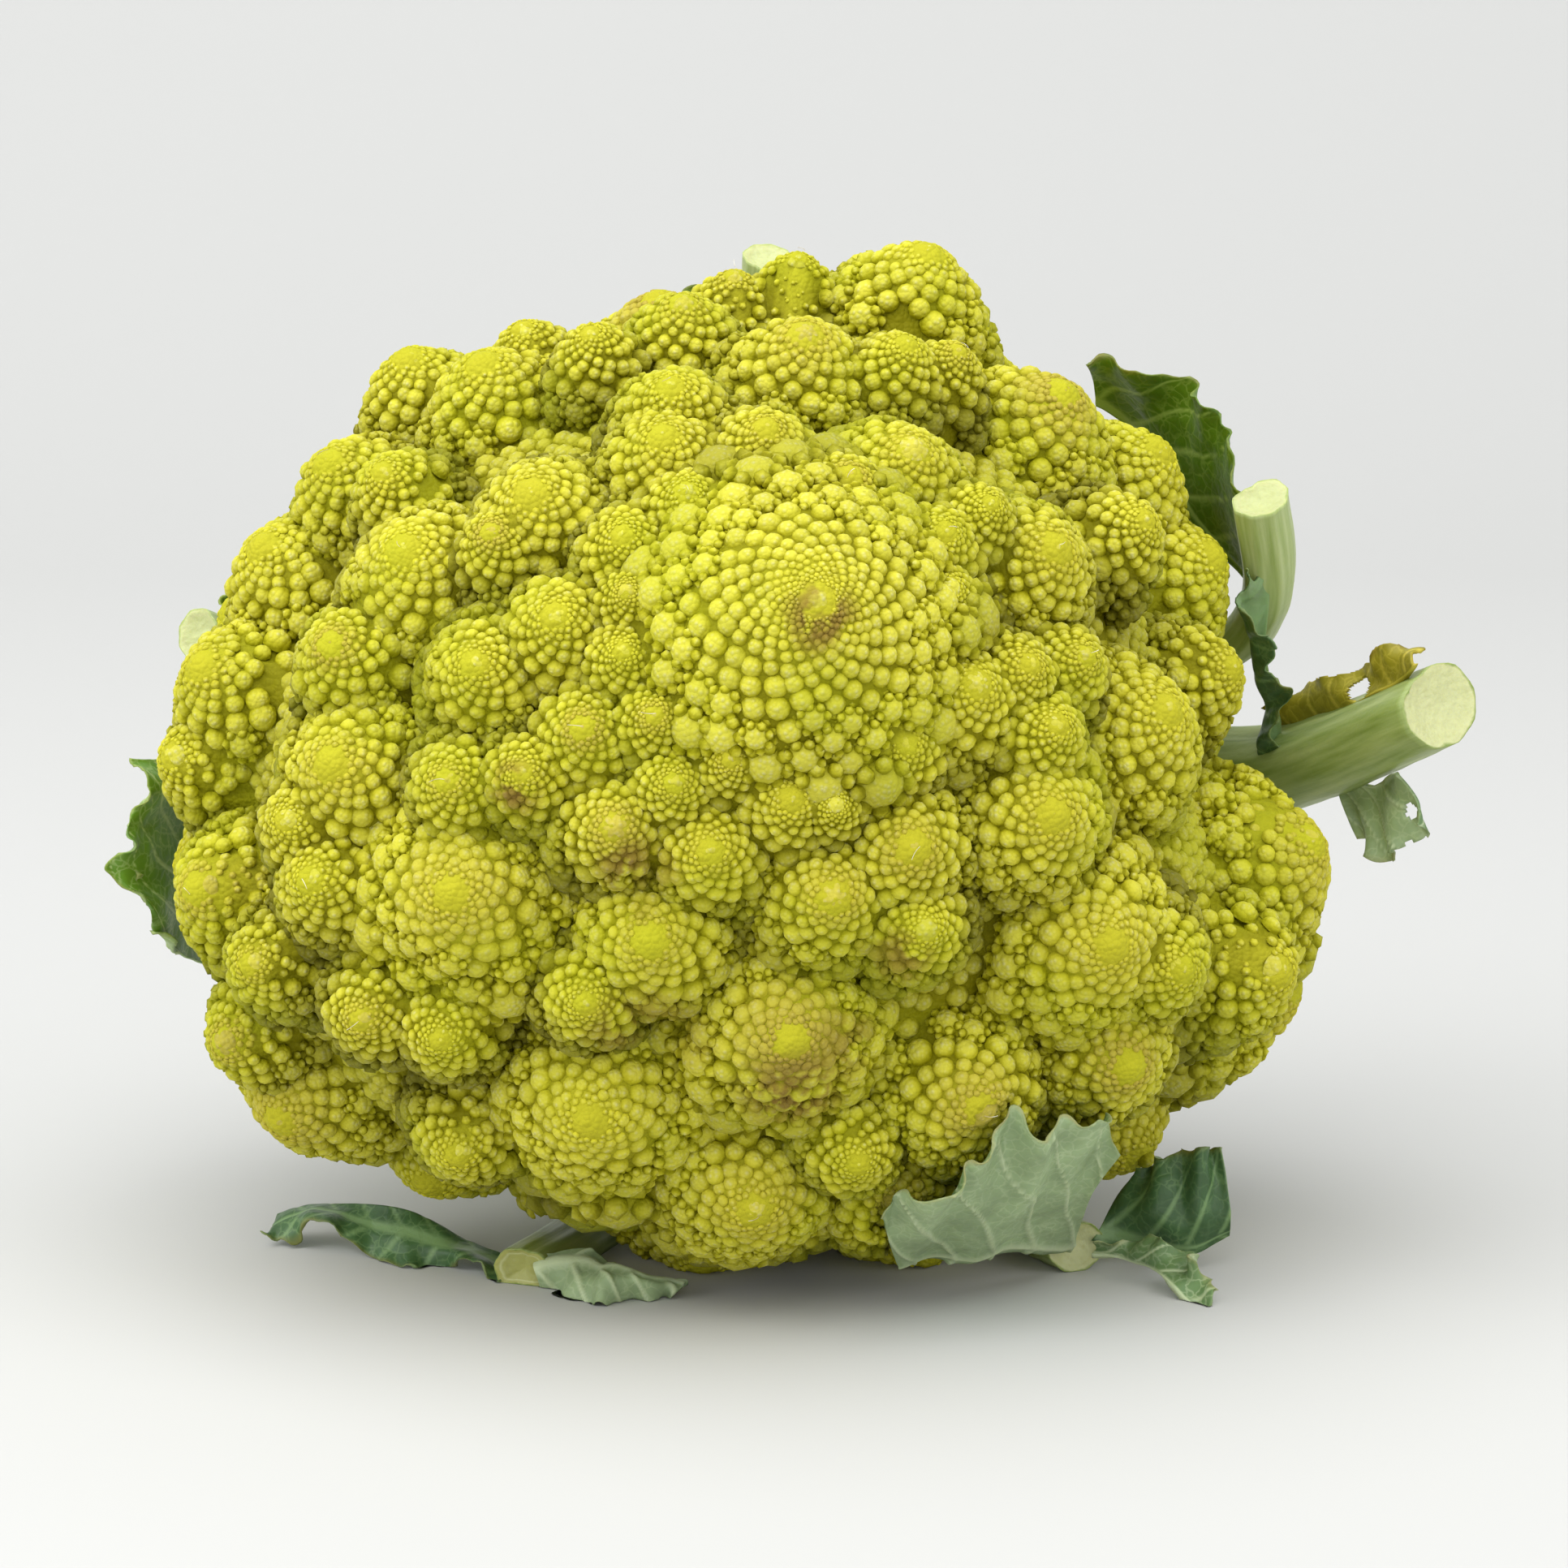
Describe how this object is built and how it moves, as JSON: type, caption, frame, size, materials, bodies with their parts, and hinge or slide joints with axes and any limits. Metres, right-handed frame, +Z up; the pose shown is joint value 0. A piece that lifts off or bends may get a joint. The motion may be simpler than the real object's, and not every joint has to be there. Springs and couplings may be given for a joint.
{
  "type": "romanesco broccoli",
  "caption": "Head of romanesco broccoli lying on its side, with spiral cone florets, cut stem, trimmed leaf stalks and leaf scraps.",
  "frame": {"origin": "middle of the bounding box, on the surface that the head rests on", "axes": "+Z up, -Y is the front, where the tip of the head points, +X to the right as seen from the front"},
  "size_m": [0.1951, 0.1446, 0.1434],
  "materials": {
    "curd": "fresh romanesco curd, matt, fine grained",
    "stalk": "pale green stem and leaf stalk, waxy",
    "leaf_dark": "dark green leaf, front side, satin",
    "leaf_grey": "grey green leaf, waxy bloom, matt",
    "leaf_wilted": "wilted yellow olive leaf, matt"
  },
  "bodies": {
    "root": {"blade_far_right": "leaf_grey", "blade_floor_right": "leaf_grey", "blade_front_left": "leaf_grey", "blade_front_middle": "leaf_grey", "blade_front_right": "leaf_grey", "blade_left": "leaf_dark", "blade_lower_left": "leaf_dark", "blade_right_lower": "leaf_grey", "blade_right_upper": "leaf_wilted", "blade_right_wing": "leaf_grey", "blade_top": "leaf_dark", "blade_upper_right": "leaf_dark", "curd": "curd", "stalk_front_left": "stalk", "stalk_front_right": "stalk", "stalk_left": "stalk", "stalk_lower_left": "stalk", "stalk_right": "stalk", "stalk_top": "stalk", "stalk_upper_right": "stalk", "stem": "stalk"}
  },
  "joints": []
}
